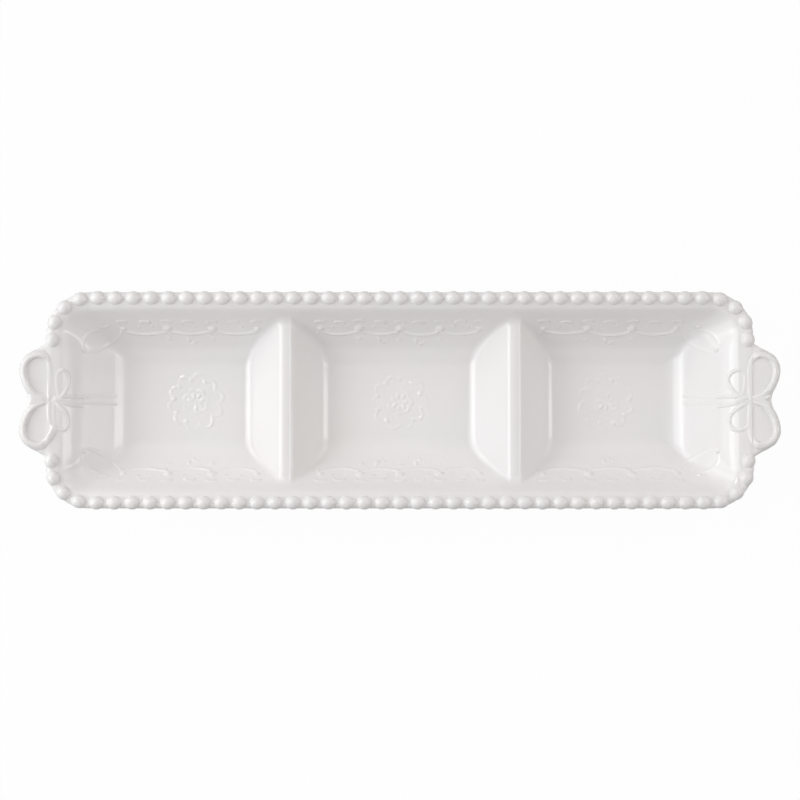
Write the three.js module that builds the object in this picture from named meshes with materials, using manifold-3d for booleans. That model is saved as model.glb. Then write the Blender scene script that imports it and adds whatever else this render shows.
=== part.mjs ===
// A long serving dish of white glazed stoneware with three wells, a beaded rim and a ribbon bow at each end.
// Every piece of clay is a solid of its own, and a thin joint of slip lies between each two that meet.
// X runs along the dish, Y across it and Z up. The origin is under the middle of the foot.

import * as THREE from "three";
import { mergeVertices } from "three/addons/utils/BufferGeometryUtils.js";
import Module from "manifold-3d";

const wasm = await Module();
wasm.setup();

// Joints between pieces of clay, in millimetres like every size below
const slipJoint = 0.3;

// Dish body
const rimLength = 370.6;
const rimWidth = 112.8;
const rimCornerRadius = 22.3;
const rimThickness = 5;
const rimEdgeRadius = 1.6;
const rimRootFillet = 2;
const lipWidth = 9.3;
const lipEdgeRadius = 2.5;
const basinDepth = 30;
const wallRun = 25; // how far a wall leans inwards on its way down
const wallThickness = 5;
const floorThickness = 5;
const floorCornerRadius = 8.5;
const floorFillet = 7;
const baseEdgeRadius = 3;

// Foot
const footHeight = 2.5;
const footWidth = 5;
const footInset = 4;

// Dividers
const dividerSpacing = 121;
const dividerHeight = 23.8;
const dividerFootWidth = 42;
const dividerCrestWidth = 6.8;
const dividerCrestRadius = 1.4;
const dividerFillet = 3;
const dividerWall = 5;
const slotMargin = 1.5; // floor left between the foot and the hole under a divider

// Beads on the lip
const beadWidth = 7.2;
const beadPitch = 9.33;
const beadInset = 2.6; // from the edge of the rim to the bead's middle
const beadRise = 0.6; // the middle of a bead above the lip
const beadNeck = 0.5; // width between two beads, as a share of a bead's
const beadGap = 1.5; // from the last bead to the bow

// Bow at each end
const tabThickness = 5;
const loopReach = 14.2; // past the edge of the rim
const loopSpan = 25.5; // from the middle of the bow
const loopBulge = 15.5; // where a loop reaches out farthest, from the middle
const loopInner = 3.9; // how far a loop lies over the lip
const notchReach = 8.6;
const ribbonWidth = 2.7;
const ribbonHeight = 1.6;
const knotInset = 6.4;
const knotRadius = 2.6;
const knotHeight = 3;
const innerLoopLength = 12;
const innerLoopWidth = 8;
const innerRibbonWidth = 1.7;
const tailLength = 31;
const tailWidth = 2;
const tailGap = 1;

// Pressed relief on the walls and floors
const sprigThickness = 0.8;
const swagDrop = 6.7; // down the wall from the edge of the lip
const swagBand = 3.4;
const middleScallopWidth = 20.8;
const endScallopWidth = 23;
const scallopDepth = 11;
const swagMargin = 3;
const eyeletWidth = 11;
const eyeletHeight = 5;
const eyeletDrop = 4.4;
const medallionRadius = 15.5;
const medallionSetback = 51; // from the middle of a divider to the middle of an end well's medallion
const medallionLobes = 10;
const medallionDotRadius = 1.5;
const petalCount = 6;
const petalLength = 7.4;
const petalWidth = 4.4;
const cornerRibbonWidth = 2.4;
const cornerRibbonDepth = 16; // down the wall, at its middle
const cornerRibbonWave = 3;
const cornerRibbonReach = 11; // along the end wall, past the corner
const cornerRibbonGap = 0.7; // from the swag's end

// Smoothness of round shapes
const cornerSteps = 8;
const arcSteps = 4;
const curveSteps = 7;
const beadSteps = 4;
const beadSides = 4;

// Heights and plan sizes that follow from the above
const floorTop = footHeight + floorThickness;
const lipTop = floorTop + basinDepth;
const lipHalfX = rimLength / 2 - lipWidth;
const lipHalfY = rimWidth / 2 - lipWidth;
const lipCornerRadius = rimCornerRadius - lipWidth;
const wallSlant = Math.hypot(wallRun, basinDepth);
const wallLean = wallRun / basinDepth;
const wallSlope = Math.atan2(basinDepth, wallRun);
const dividerX = dividerSpacing / 2;

const glaze = new THREE.MeshStandardMaterial({ color: 0xeceae6, roughness: 0.15, metalness: 0 });
const stoneware = new THREE.MeshStandardMaterial({ color: 0xd9cfc0, roughness: 0.85, metalness: 0 });

const dish = new THREE.Group();

function addPiece(name, geometry, parent = dish, material = glaze) {
  const mesh = new THREE.Mesh(geometry, material);
  mesh.name = name;
  parent.add(mesh);
  return mesh;
}

// Solids and booleans

function toSolid(geometry) {
  const bare = new THREE.BufferGeometry();
  bare.setAttribute("position", geometry.getAttribute("position").clone());
  if (geometry.index) bare.setIndex(geometry.index.clone());
  const merged = mergeVertices(bare, 1e-4);
  const vertProperties = merged.getAttribute("position").array;
  const triVerts = new Uint32Array(merged.index.array);
  return new wasm.Manifold(new wasm.Mesh({ numProp: 3, vertProperties, triVerts }));
}

function toGeometry(solid) {
  const mesh = solid.getMesh();
  const geometry = new THREE.BufferGeometry();
  geometry.setAttribute("position", new THREE.BufferAttribute(mesh.vertProperties, 3));
  geometry.setIndex(new THREE.BufferAttribute(mesh.triVerts, 1));
  geometry.computeVertexNormals();
  return geometry;
}

function signedVolume(points, index) {
  let volume = 0;
  for (let i = 0; i < index.length; i += 3) {
    const [a, b, c] = [points[index[i]], points[index[i + 1]], points[index[i + 2]]];
    volume += a.dot(b.clone().cross(c)) / 6;
  }
  return volume;
}

// A closed skin over rows of points, each row a convex loop. The end rows get flat caps, unless the rows meet.
function loft(rows, meets = false) {
  const count = rows[0].length;
  const points = rows.flat();
  const index = [];
  const bands = meets ? rows.length : rows.length - 1;
  for (let row = 0; row < bands; row++) {
    const next = (row + 1) % rows.length;
    for (let side = 0; side < count; side++) {
      const other = (side + 1) % count;
      const [a, b] = [row * count + side, row * count + other];
      const [d, c] = [next * count + side, next * count + other];
      index.push(a, b, c, a, c, d);
    }
  }
  if (!meets) {
    const last = (rows.length - 1) * count;
    for (let side = 1; side < count - 1; side++) {
      index.push(0, side + 1, side, last, last + side, last + side + 1);
    }
  }
  if (signedVolume(points, index) < 0) index.reverse();
  const geometry = new THREE.BufferGeometry().setFromPoints(points);
  geometry.setIndex(index);
  geometry.computeVertexNormals();
  return geometry;
}

// A copy turned over across X or Y, with its faces still pointing out
function mirrored(geometry, x, y) {
  const scaled = geometry.clone().scale(x, y, 1);
  const copy = scaled.index ? scaled : mergeVertices(scaled);
  if (x * y < 0) copy.index.array.reverse();
  return copy;
}

function extrudeUp(shape, height, bottom = 0) {
  const options = { depth: height, bevelEnabled: false, curveSegments: curveSteps };
  return new THREE.ExtrudeGeometry(shape, options).translate(0, 0, bottom);
}

// Outlines

// The round stretch that replaces a corner between two straight ones
function cornerArc(before, corner, after, radius) {
  const toBefore = before.clone().sub(corner).normalize();
  const toAfter = after.clone().sub(corner).normalize();
  const half = Math.acos(toBefore.dot(toAfter)) / 2;
  const middle = toBefore.clone().add(toAfter).normalize();
  const centre = corner.clone().addScaledVector(middle, radius / Math.sin(half));
  const start = corner.clone().addScaledVector(toBefore, radius / Math.tan(half)).sub(centre);
  const sweep = Math.PI - 2 * half;
  const turn = Math.sign(toAfter.cross(toBefore)) * sweep;
  const arc = [];
  for (let step = 0; step <= arcSteps; step++) {
    arc.push(start.clone().rotateAround(new THREE.Vector2(), (turn * step) / arcSteps).add(centre));
  }
  return arc;
}

// A section whose inner corners are round. Its first and last point only give directions.
function roundedSection(corners, radii) {
  return radii.flatMap((radius, i) => cornerArc(corners[i], corners[i + 1], corners[i + 2], radius));
}

function roundedLoop(halfX, halfY, radius) {
  const loop = [];
  for (let quarter = 0; quarter < 4; quarter++) {
    const x = (halfX - radius) * (quarter === 0 || quarter === 3 ? 1 : -1);
    const y = (halfY - radius) * (quarter < 2 ? 1 : -1);
    for (let step = 0; step <= cornerSteps; step++) {
      const angle = (Math.PI / 2) * (quarter + step / cornerSteps);
      loop.push(new THREE.Vector2(x + radius * Math.cos(angle), y + radius * Math.sin(angle)));
    }
  }
  return loop;
}

// Plan sizes of the dish at a distance out from the edge of its lip; walls have a negative distance
function planAt(out) {
  const tightening = (lipCornerRadius - floorCornerRadius) / wallRun;
  const radius = lipCornerRadius + (out > 0 ? out : out * tightening);
  return { halfX: lipHalfX + out, halfY: lipHalfY + out, radius };
}

function levelLoop(out, z) {
  const { halfX, halfY, radius } = planAt(out);
  return roundedLoop(halfX, halfY, radius).map((p) => new THREE.Vector3(p.x, p.y, z));
}

// Dish body

// The room inside the dish, clear of its walls and floor
function basinRoom(clearance) {
  const across = clearance * Math.hypot(1, wallLean);
  const top = new THREE.Vector2(rimThickness * wallLean - across, lipTop + rimThickness);
  const foot = new THREE.Vector2(-wallRun - across + clearance * wallLean, floorTop + clearance);
  const middle = new THREE.Vector2(-lipHalfY, foot.y);
  const section = [top, ...cornerArc(top, foot, middle, floorFillet - clearance)];
  return toSolid(loft(section.map((p) => levelLoop(p.x, p.y))));
}

function dividerHollow() {
  const faceRun = (dividerFootWidth - dividerCrestWidth) / 2;
  const lean = faceRun / dividerHeight;
  const halfWidth = dividerFootWidth / 2 - dividerWall * Math.hypot(1, lean);
  return { halfWidth, height: halfWidth / lean };
}

function makeBody() {
  const wallAcross = wallThickness * Math.hypot(1, wallLean);
  const outerWall = (z) => wallAcross - (lipTop - z) * wallLean;
  const rimBottom = lipTop - rimThickness;
  const corners = [
    [-lipHalfY, footHeight],
    [outerWall(footHeight), footHeight],
    [outerWall(rimBottom), rimBottom],
    [lipWidth, rimBottom],
    [lipWidth, lipTop],
    [0, lipTop],
    [-wallRun, floorTop],
    [-lipHalfY, floorTop],
  ].map(([out, z]) => new THREE.Vector2(out, z));
  const radii = [baseEdgeRadius, rimRootFillet, rimEdgeRadius, rimEdgeRadius, lipEdgeRadius, floorFillet];
  let body = toSolid(loft(roundedSection(corners, radii).map((p) => levelLoop(p.x, p.y))));

  const slotHalfX = dividerHollow().halfWidth;
  const foot = planAt(outerWall(footHeight) - footInset - footWidth);
  const slotHalfY = foot.halfY - slotMargin;
  for (const side of [-1, 1]) {
    const slot = new THREE.BoxGeometry(2 * slotHalfX, 2 * slotHalfY, 2 * (floorThickness + footHeight));
    body = body.subtract(toSolid(slot.translate(side * dividerX, 0, footHeight)));
  }
  addPiece("dish_body", toGeometry(body));
  addFoot(outerWall(footHeight));
}

function addFoot(baseEdge) {
  const outside = levelLoop(baseEdge - footInset, 0);
  const inside = levelLoop(baseEdge - footInset - footWidth, 0);
  const lift = new THREE.Vector3(0, 0, footHeight - slipJoint);
  const rows = outside.map((p, i) => {
    const q = inside[i];
    return [p, q, q.clone().add(lift), p.clone().add(lift)];
  });
  addPiece("foot_ring", loft(rows, true), dish, stoneware);
}

// Dividers

// A folded sheet of clay, seen along Y: its foot flares into the floor, and it is open below
function dividerShape() {
  const footHalf = dividerFootWidth / 2;
  const crestHalf = dividerCrestWidth / 2;
  const floorPoint = new THREE.Vector2(-dividerX, 0);
  const foot = new THREE.Vector2(-footHalf, 0);
  const crest = new THREE.Vector2(-crestHalf, dividerHeight);
  const farCrest = new THREE.Vector2(crestHalf, dividerHeight);
  const left = [
    ...cornerArc(floorPoint, foot, crest, dividerFillet),
    ...cornerArc(foot, crest, farCrest, dividerCrestRadius),
  ].filter((p) => p.y > slipJoint);
  const right = left.map((p) => new THREE.Vector2(-p.x, p.y)).reverse();
  const flare = left[0].x;
  const hollow = dividerHollow();
  const outline = [
    new THREE.Vector2(flare, slipJoint),
    ...left,
    ...right,
    new THREE.Vector2(-flare, slipJoint),
    new THREE.Vector2(hollow.halfWidth, slipJoint),
    new THREE.Vector2(0, hollow.height),
    new THREE.Vector2(-hollow.halfWidth, slipJoint),
  ];
  return new THREE.Shape(outline);
}

function makeDividers() {
  const room = basinRoom(slipJoint);
  const sheet = extrudeUp(dividerShape(), rimWidth, -rimWidth / 2).rotateX(Math.PI / 2);
  for (const [name, side] of [["left_divider", -1], ["right_divider", 1]]) {
    const placed = sheet.clone().translate(side * dividerX, 0, floorTop);
    addPiece(name, toGeometry(toSolid(placed).intersect(room)));
  }
}

// Half of a divider's width at a height above the floor
function dividerHalfAt(height) {
  const share = THREE.MathUtils.clamp(height / dividerHeight, 0, 1);
  return THREE.MathUtils.lerp(dividerFootWidth, dividerCrestWidth, share) / 2;
}

// Beads

// A place on the beads' path, measured along it from the middle of the back
function beadPath(distance) {
  const { halfX, halfY, radius } = planAt(lipWidth - beadInset);
  const straight = halfX - radius;
  const along = Math.abs(distance);
  const angle = THREE.MathUtils.clamp((along - straight) / radius, 0, Math.PI / 2);
  const pastCorner = Math.max(0, along - straight - (radius * Math.PI) / 2);
  const outward = new THREE.Vector2(Math.sin(angle), Math.cos(angle));
  const x = Math.min(along, straight) + radius * outward.x;
  const y = halfY - radius + radius * outward.y - pastCorner;
  const side = Math.sign(distance) || 1;
  return { place: new THREE.Vector2(x * side, y), outward: outward.setX(outward.x * side) };
}

// Flat below, where it lies on the lip, and round above
function beadSection(distance, radius) {
  const { place, outward } = beadPath(distance);
  const section = [];
  const put = (across, up) => {
    const p = place.clone().addScaledVector(outward, across);
    section.push(new THREE.Vector3(p.x, p.y, lipTop + beadRise + up));
  };
  for (let side = 0; side <= beadSides; side++) {
    const angle = (Math.PI * side) / beadSides;
    put(radius * Math.cos(angle), radius * Math.sin(angle));
  }
  put(-radius, slipJoint - beadRise);
  put(radius, slipJoint - beadRise);
  return section;
}

function beadRun(first, last, pitch) {
  const sharpness = 1 - beadNeck ** 2;
  const rows = [];
  for (let step = 0; step <= (last - first + 1) * beadSteps; step++) {
    const along = first - 0.5 + step / beadSteps;
    const fromMiddle = 2 * (along - Math.round(along));
    const radius = (beadWidth / 2) * Math.sqrt(1 - sharpness * fromMiddle ** 2);
    rows.push(beadSection(along * pitch, radius));
  }
  return loft(rows);
}

function makeBeads() {
  const { halfX, halfY, radius } = planAt(lipWidth - beadInset);
  const straight = halfX - radius;
  const toBow = straight + (radius * Math.PI) / 2 + halfY - radius - loopSpan - beadGap;
  const half = Math.round(toBow / beadPitch - 0.5);
  const pitch = toBow / (half + 0.5);
  const halfStraight = Math.round(straight / pitch - 0.5);
  const runs = [
    ["beads", -halfStraight, halfStraight],
    ["left_beads", -half, -halfStraight - 1],
    ["right_beads", halfStraight + 1, half],
  ];
  for (const [name, first, last] of runs) {
    const run = beadRun(first, last, pitch);
    addPiece(`back_${name}`, run);
    addPiece(`front_${name}`, mirrored(run, 1, -1));
  }
}

// Bows. In a bow's own frame X points out of the dish from the edge of the rim, and Z is zero on the lip.

// One large loop's outline on the +Y side, moved inwards by an inset
function loopShape(inset) {
  const near = slipJoint + knotRadius / 2 + inset;
  const reach = loopReach - inset;
  const span = loopSpan - inset;
  const inner = -loopInner + inset;
  const start = -knotInset + knotRadius + slipJoint + inset;
  const far = (reach + inner) / 2;
  const shape = new THREE.Shape();
  shape.moveTo(start, near);
  shape.bezierCurveTo(start + loopReach - inset, near, reach, loopBulge / 2, reach, loopBulge);
  shape.bezierCurveTo(reach, (span + loopBulge) / 2, (reach + far) / 2, span, far, span);
  shape.bezierCurveTo((far + inner) / 2, span, inner, (span + loopBulge) / 2, inner, loopBulge);
  shape.bezierCurveTo(inner, loopBulge / 2, start, loopBulge / 2, start, near);
  return shape;
}

// The solid tab under the ribbons: both loops filled in, and a web between them, up to the edge of the rim
function tabGeometry() {
  const lobe = extrudeUp(loopShape(0), tabThickness, -tabThickness);
  const web = new THREE.BoxGeometry(notchReach, loopBulge, tabThickness);
  web.translate(notchReach / 2, 0, -tabThickness / 2);
  const inside = new THREE.BoxGeometry(rimWidth, rimWidth, 4 * tabThickness);
  inside.translate(slipJoint - rimWidth / 2, 0, 0);
  const both = toSolid(lobe).add(toSolid(mirrored(lobe, 1, -1))).add(toSolid(web));
  return toGeometry(both.subtract(toSolid(inside)));
}

function largeLoop() {
  const shape = loopShape(0);
  shape.holes.push(loopShape(ribbonWidth));
  return extrudeUp(shape, ribbonHeight, slipJoint);
}

function innerLoop() {
  const [halfX, halfY] = [innerLoopWidth / 2, innerLoopLength / 2];
  const x = -loopInner - slipJoint - halfX;
  const y = knotRadius + slipJoint + halfY;
  const shape = new THREE.Shape();
  shape.absellipse(x, y, halfX, halfY, 0, 2 * Math.PI);
  const hole = new THREE.Path();
  hole.absellipse(x, y, halfX - innerRibbonWidth, halfY - innerRibbonWidth, 0, 2 * Math.PI);
  shape.holes.push(hole);
  return extrudeUp(shape, ribbonHeight, slipJoint);
}

function knotGeometry() {
  const profile = [new THREE.Vector2(0, 0)];
  for (let step = 0; step <= arcSteps; step++) {
    const angle = ((Math.PI / 2) * step) / arcSteps;
    const across = step === arcSteps ? 0 : knotRadius * Math.cos(angle);
    profile.push(new THREE.Vector2(across, knotHeight * Math.sin(angle)));
  }
  const knot = new THREE.LatheGeometry(profile, 2 * cornerSteps).rotateX(Math.PI / 2);
  return knot.translate(-knotInset, 0, slipJoint);
}

// A ribbon's end on the sloping wall, cut on the slant. X runs up the wall to the edge of the lip.
function tailGeometry() {
  const start = -lipEdgeRadius;
  const end = start - tailLength;
  const near = tailGap / 2;
  const far = near + tailWidth;
  const corners = [[start, near], [start, far], [end, far], [end + tailWidth, near]];
  const shape = new THREE.Shape(corners.map(([x, y]) => new THREE.Vector2(x, y)));
  return extrudeUp(shape, sprigThickness, slipJoint);
}

function makeBow(end, turn) {
  const bow = new THREE.Group();
  bow.position.set((rimLength / 2) * Math.cos(turn), 0, lipTop);
  bow.rotation.z = turn;
  dish.add(bow);

  const wall = new THREE.Group();
  wall.position.x = -lipWidth;
  wall.rotation.y = -wallSlope;
  bow.add(wall);

  addPiece(`${end}_bow_tab`, tabGeometry(), bow);
  addPiece(`${end}_bow_knot`, knotGeometry(), bow);
  const back = Math.cos(turn); // which way the back of the dish lies in the bow's frame
  for (const [side, y] of [["back", back], ["front", -back]]) {
    addPiece(`${end}_bow_${side}_loop`, mirrored(largeLoop(), 1, y), bow);
    addPiece(`${end}_bow_${side}_inner_loop`, mirrored(innerLoop(), 1, y), bow);
    addPiece(`${end}_bow_${side}_tail`, mirrored(tailGeometry(), 1, y), wall);
  }
}

// Relief on the long walls. In a wall's own frame X runs along it, Y up its slope from the edge of the lip.

function swagShape(count, scallopWidth) {
  const length = count * scallopWidth;
  const top = -swagDrop;
  const bottom = top - swagBand;
  const shape = new THREE.Shape();
  shape.moveTo(-length / 2, bottom);
  shape.lineTo(-length / 2, top);
  shape.lineTo(length / 2, top);
  shape.lineTo(length / 2, bottom);
  for (let scallop = count - 1; scallop >= 0; scallop--) {
    const x = (scallop + 0.5) * scallopWidth - length / 2;
    shape.absellipse(x, bottom, scallopWidth / 2, scallopDepth, 0, -Math.PI, true);
    const eyelet = new THREE.Path();
    eyelet.absellipse(x, bottom - eyeletDrop, eyeletWidth / 2, eyeletHeight / 2, 0, 2 * Math.PI);
    shape.holes.push(eyelet);
  }
  return shape;
}

// How many scallops hang in the middle well and in an end well, and where their middle is
function swagPlan() {
  const lowest = swagDrop + swagBand + scallopDepth;
  const down = lowest / wallSlant;
  const divider = dividerHalfAt(basinDepth * (1 - down)) + swagMargin;
  const { halfX, radius } = planAt(-wallRun * down);
  const fit = (from, to, scallop) => {
    const count = Math.max(1, Math.floor((to - from) / scallop));
    return { count, scallop, middle: (from + to) / 2, end: (from + to + count * scallop) / 2 };
  };
  return {
    middle: fit(divider - dividerX, dividerX - divider, middleScallopWidth),
    end: fit(dividerX + divider, halfX - radius, endScallopWidth),
  };
}

function makeSwags() {
  const plan = swagPlan();
  for (const [wallName, turn] of [["back", 0], ["front", Math.PI]]) {
    const wall = new THREE.Group();
    wall.position.set(0, lipHalfY * Math.cos(turn), lipTop);
    wall.rotation.set(wallSlope, 0, turn, "ZYX");
    dish.add(wall);
    const toRight = Math.cos(turn);
    for (const [wellName, well, side] of [
      ["left", plan.end, -toRight],
      ["middle", plan.middle, 1],
      ["right", plan.end, toRight],
    ]) {
      const relief = extrudeUp(swagShape(well.count, well.scallop), sprigThickness, slipJoint);
      const swag = addPiece(`${wellName}_${wallName}_swag`, relief, wall);
      swag.position.x = side * well.middle;
    }
  }
}

// A place on the basin's wall near its back right corner: -1 to 0 from the swag's end to the corner,
// 0 to 1 round the corner, and 1 to 2 along the end wall
function cornerPlace(along, down, lift) {
  const start = swagPlan().end.end + cornerRibbonGap;
  const at = (place, depth) => {
    const { halfX, halfY, radius } = planAt((-wallRun * depth) / wallSlant);
    const angle = (Math.PI / 2) * THREE.MathUtils.clamp(place, 0, 1);
    const before = (halfX - radius - start) * Math.min(place, 0);
    const past = cornerRibbonReach * Math.max(place - 1, 0);
    const x = halfX - radius + radius * Math.sin(angle) + before;
    const y = halfY - radius + radius * Math.cos(angle) - past;
    return new THREE.Vector3(x, y, lipTop - (basinDepth * depth) / wallSlant);
  };
  const small = 0.01;
  const place = at(along, down);
  const alongWall = at(along + small, down).sub(at(along - small, down));
  const downWall = at(along, down + small).sub(place);
  const normal = alongWall.cross(downWall).normalize();
  if (normal.z < 0) normal.negate();
  return place.addScaledVector(normal, lift);
}

// A wavy ribbon that hangs from the swag's end, round the corner and along the end wall
function cornerRibbon() {
  const rows = [];
  const steps = 3 * cornerSteps;
  for (let step = 0; step <= steps; step++) {
    const along = (3 * step) / steps - 1;
    const middle = cornerRibbonDepth + cornerRibbonWave * Math.sin(Math.PI * along);
    const [high, low] = [middle - cornerRibbonWidth / 2, middle + cornerRibbonWidth / 2];
    const top = slipJoint + sprigThickness;
    rows.push([
      cornerPlace(along, high, slipJoint),
      cornerPlace(along, low, slipJoint),
      cornerPlace(along, low, top),
      cornerPlace(along, high, top),
    ]);
  }
  return loft(rows);
}

function makeCornerRibbons() {
  const ribbon = cornerRibbon();
  for (const [end, x] of [["left", -1], ["right", 1]]) {
    for (const [wall, y] of [["back", 1], ["front", -1]]) {
      addPiece(`${end}_${wall}_corner_ribbon`, mirrored(ribbon, x, y));
    }
  }
}

// Medallions

// A lobed disc with a ring of dots, and a flower of petals round a button
function medallionGeometry() {
  const dotCircle = medallionRadius - medallionDotRadius;
  const rise = sprigThickness / 2;
  const disc = new THREE.CylinderGeometry(dotCircle, dotCircle, rise, 2 * medallionLobes);
  let medallion = toSolid(disc.rotateX(Math.PI / 2).translate(0, 0, rise / 2));
  for (let lobe = 0; lobe < medallionLobes; lobe++) {
    const angle = (2 * Math.PI * lobe) / medallionLobes;
    const dot = new THREE.CylinderGeometry(medallionDotRadius, medallionDotRadius, sprigThickness, cornerSteps);
    dot.rotateX(Math.PI / 2);
    dot.translate(dotCircle * Math.cos(angle), dotCircle * Math.sin(angle), sprigThickness / 2);
    medallion = medallion.add(toSolid(dot));
  }
  for (let petal = 0; petal < petalCount; petal++) {
    const angle = (2 * Math.PI * petal) / petalCount;
    const shape = new THREE.Shape();
    shape.absellipse(petalLength / 2, 0, petalLength / 2, petalWidth / 2, 0, 2 * Math.PI);
    medallion = medallion.add(toSolid(extrudeUp(shape, sprigThickness).rotateZ(angle)));
  }
  return toGeometry(medallion);
}

function makeMedallions() {
  const endX = dividerX + medallionSetback;
  for (const [well, x] of [["left", -endX], ["middle", 0], ["right", endX]]) {
    const medallion = addPiece(`${well}_medallion`, medallionGeometry());
    medallion.position.set(x, 0, floorTop + slipJoint);
  }
}

makeBody();
makeDividers();
makeBeads();
makeBow("right", 0);
makeBow("left", Math.PI);
makeSwags();
makeCornerRibbons();
makeMedallions();

export default dish;
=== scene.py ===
import math
import bpy
import bmesh
import numpy as np
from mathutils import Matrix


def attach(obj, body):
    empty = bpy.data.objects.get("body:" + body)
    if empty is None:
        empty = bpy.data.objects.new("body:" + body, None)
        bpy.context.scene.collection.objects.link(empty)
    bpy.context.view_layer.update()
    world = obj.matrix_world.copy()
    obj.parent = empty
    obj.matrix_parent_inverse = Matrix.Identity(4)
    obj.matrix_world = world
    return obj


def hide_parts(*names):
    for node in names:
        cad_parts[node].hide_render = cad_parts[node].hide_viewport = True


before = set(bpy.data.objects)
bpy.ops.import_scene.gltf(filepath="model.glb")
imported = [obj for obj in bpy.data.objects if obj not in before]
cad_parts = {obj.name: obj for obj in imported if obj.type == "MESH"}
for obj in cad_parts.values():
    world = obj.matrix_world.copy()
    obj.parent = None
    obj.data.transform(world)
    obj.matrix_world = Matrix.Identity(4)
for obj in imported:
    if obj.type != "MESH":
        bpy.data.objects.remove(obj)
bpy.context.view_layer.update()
scene = bpy.context.scene
mm = 0.001
slack = 0.01  # lets a range of steps include its end
walls = {"back": 1, "front": -1}  # the side of each along Y
ends = {"left": -1, "right": 1}  # the side of each along X

# sizes of the dish in millimetres, shared by every piece
dish = {
    "rimX": 185.3, "lipX": 176.0, "lipY": 47.1, "lipRadius": 13.0, "lipTop": 37.5, "lipWidth": 9.3,
    "rimThick": 5.0, "rimEdge": 2.4, "rimLow": 2.0, "rimRoot": 2.0, "wallRun": 25.0, "depth": 30.0,
    "wall": 5.0, "floorTop": 7.5, "base": 2.5, "floorRadius": 8.5, "baseEdge": 3.0,
    "dividerX": 60.5, "hollowX": 14.8, "hollowY": 25.0,
}
wallLean = dish["wallRun"] / dish["depth"]
cornerTighten = (dish["lipRadius"] - dish["floorRadius"]) / dish["wallRun"]


class Link:
    def __init__(self, tree, socket=None):
        self.tree = tree
        self.socket = socket

    def node(self, kind, settings, inputs, output=0):  # any node: settings first, then its sockets
        made = self.tree.nodes.new(kind)
        for key, value in settings.items():
            setattr(made, key, value)
        for key, value in inputs.items():
            if isinstance(value, Link):
                self.tree.links.new(value.socket, made.inputs[key])
            else:
                made.inputs[key].default_value = value
        return Link(self.tree, made.outputs[output] if made.outputs else None)

    def math(self, operation, a, b):
        return self.node("ShaderNodeMath", {"operation": operation}, {0: a, 1: b})

    def __add__(self, other):
        return self.math("ADD", self, other)

    def __radd__(self, other):
        return self.math("ADD", other, self)

    def __sub__(self, other):
        return self.math("SUBTRACT", self, other)

    def __rsub__(self, other):
        return self.math("SUBTRACT", other, self)

    def __mul__(self, other):
        return self.math("MULTIPLY", self, other)

    def __rmul__(self, other):
        return self.math("MULTIPLY", other, self)

    def __truediv__(self, other):
        return self.math("DIVIDE", self, other)

    def __rtruediv__(self, other):
        return self.math("DIVIDE", other, self)

    def __pow__(self, other):
        return self.math("POWER", self, other)

    def __rpow__(self, other):
        return self.math("POWER", other, self)


# materials

def startMaterial(name):
    material = bpy.data.materials.new(name)
    material.use_nodes = True
    tree = material.node_tree
    tree.nodes.clear()
    link = Link(tree)
    place = link.node("ShaderNodeTexCoord", {}, {}, "Object")
    return material, link, place


def noise(link, place, scale, detail=2.0):
    return link.node("ShaderNodeTexNoise", {}, {"Vector": place, "Scale": scale, "Detail": detail}, "Fac")


def ramp(link, value, low, high):
    return link.node("ShaderNodeMapRange", {"interpolation_type": "SMOOTHSTEP"},
                     {"Value": value, "From Min": low, "From Max": high})


def mixColor(link, factor, a, b):
    return link.node("ShaderNodeMix", {"data_type": "RGBA"}, {0: factor, 6: a, 7: b}, 2)  # colour sockets


def bumpFrom(link, look, height):
    inputs = {"Strength": look["bump"], "Distance": look["bumpDepth"], "Height": height}
    return link.node("ShaderNodeBump", {}, inputs)


def finishMaterial(link, inputs):
    shader = link.node("ShaderNodeBsdfPrincipled", {}, inputs)
    link.node("ShaderNodeOutputMaterial", {}, {"Surface": shader})


glazeLook = {
    "warm": (0.864, 0.836, 0.828, 1), "cool": (0.858, 0.835, 0.835, 1),
    "cloudScale": 22.0, "cloudEdges": (0.35, 0.65), "rippleScale": 160.0, "rippleDetail": 3.0,
    "rippleShare": 0.7, "grainScale": 900.0, "grainShare": 0.08,
    "roughLow": 0.07, "roughHigh": 0.16, "bump": 0.12, "bumpDepth": 0.0006, "ior": 1.48,
}


def makeGlaze():
    look = glazeLook
    material, link, place = startMaterial("white glaze")
    cloud = noise(link, place, look["cloudScale"])
    ripple = noise(link, place, look["rippleScale"], look["rippleDetail"])
    grain = noise(link, place, look["grainScale"])
    tint = mixColor(link, ramp(link, cloud, *look["cloudEdges"]), look["warm"], look["cool"])
    rough = look["roughLow"] + (look["roughHigh"] - look["roughLow"]) * ripple
    bump = bumpFrom(link, look, ripple * look["rippleShare"] + grain * look["grainShare"])
    finishMaterial(link, {"Base Color": tint, "Roughness": rough, "Normal": bump, "IOR": look["ior"]})
    return material


bareLook = {
    "light": (0.74, 0.68, 0.59, 1), "dark": (0.66, 0.59, 0.5, 1), "cloudScale": 60.0, "cloudDetail": 4.0,
    "speck": (0.2, 0.14, 0.1, 1), "speckScale": 700.0, "speckDetail": 1.0, "speckEdges": (0.7, 0.76),
    "speckShare": 0.6, "grainScale": 1500.0, "grainDetail": 3.0, "rough": 0.75, "roughMore": 0.2,
    "bump": 0.35, "bumpDepth": 0.0003,
}


def makeBare():
    look = bareLook
    material, link, place = startMaterial("bare stoneware")
    cloud = noise(link, place, look["cloudScale"], look["cloudDetail"])
    grain = noise(link, place, look["grainScale"], look["grainDetail"])
    specks = ramp(link, noise(link, place, look["speckScale"], look["speckDetail"]), *look["speckEdges"])
    body = mixColor(link, cloud, look["light"], look["dark"])
    color = mixColor(link, specks * look["speckShare"], body, look["speck"])
    rough = look["rough"] + grain * look["roughMore"]
    finishMaterial(link, {"Base Color": color, "Roughness": rough, "Normal": bumpFrom(link, look, grain)})
    return material


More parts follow.
